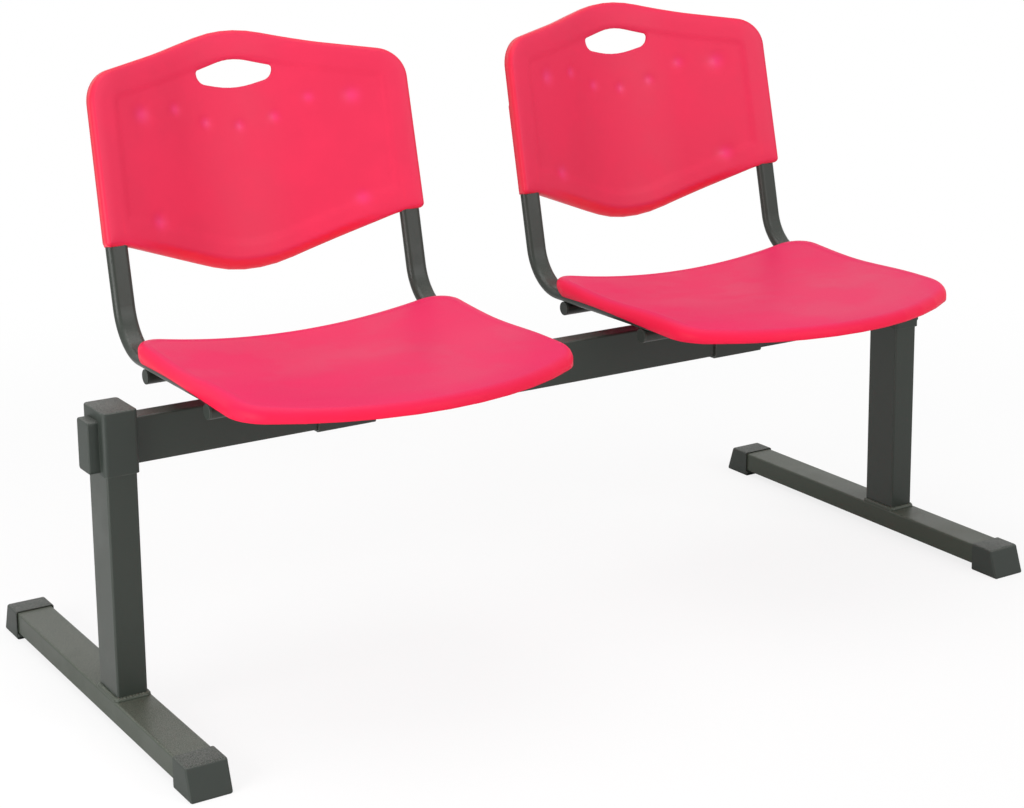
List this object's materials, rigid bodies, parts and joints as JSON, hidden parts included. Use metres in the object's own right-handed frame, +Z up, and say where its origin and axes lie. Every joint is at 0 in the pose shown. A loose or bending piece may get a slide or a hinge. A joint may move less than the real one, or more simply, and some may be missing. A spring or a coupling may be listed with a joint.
{
  "type": "beam seating bench",
  "caption": "Waiting-room bench: plastic seats and bowed backs with hand holes on bent oval tubes, clamped to a steel beam between T-shaped legs with capped feet.",
  "frame": {"origin": "on the floor, under the middle of the overall box", "axes": "+X along the beam, from the left seat to the right seat as a sitter faces them from the front, +Y to the rear, +Z up"},
  "size_m": [1.354, 0.658, 0.8225],
  "materials": {
    "red_plastic": "moulded, satin",
    "frame_paint": "powder coat, satin",
    "dark_plastic": "moulded, matt",
    "zinc_steel": "zinc plated"
  },
  "bodies": {
    "root": {"back_screws": "zinc_steel", "back_shell_left": "red_plastic", "back_shell_right": "red_plastic", "beam_bolts": "zinc_steel", "beam_end_cap_left": "dark_plastic", "beam_end_cap_right": "dark_plastic", "beam_nuts": "zinc_steel", "beam_tube": "frame_paint", "beam_washers": "zinc_steel", "bearing_plate_left": "frame_paint", "bearing_plate_right": "frame_paint", "carrier_plate_left": "frame_paint", "carrier_plate_right": "frame_paint", "clamp_bolts": "zinc_steel", "clamp_nuts": "zinc_steel", "cross_tube_front_left": "frame_paint", "cross_tube_front_right": "frame_paint", "cross_tube_plugs": "dark_plastic", "cross_tube_rear_left": "frame_paint", "cross_tube_rear_right": "frame_paint", "foot_cap_front_left": "dark_plastic", "foot_cap_front_right": "dark_plastic", "foot_cap_rear_left": "dark_plastic", "foot_cap_rear_right": "dark_plastic", "foot_tube_left": "frame_paint", "foot_tube_right": "frame_paint", "joint_cover_left": "dark_plastic", "joint_cover_right": "dark_plastic", "post_left": "frame_paint", "post_right": "frame_paint", "post_weld_left": "frame_paint", "post_weld_right": "frame_paint", "rail_plugs": "dark_plastic", "saddle_clamp_left": "frame_paint", "saddle_clamp_right": "frame_paint", "seat_pan_left": "red_plastic", "seat_pan_right": "red_plastic", "seat_screws": "zinc_steel", "side_tube_left_of_left_seat": "frame_paint", "side_tube_left_of_right_seat": "frame_paint", "side_tube_right_of_left_seat": "frame_paint", "side_tube_right_of_right_seat": "frame_paint"}
  },
  "joints": []
}
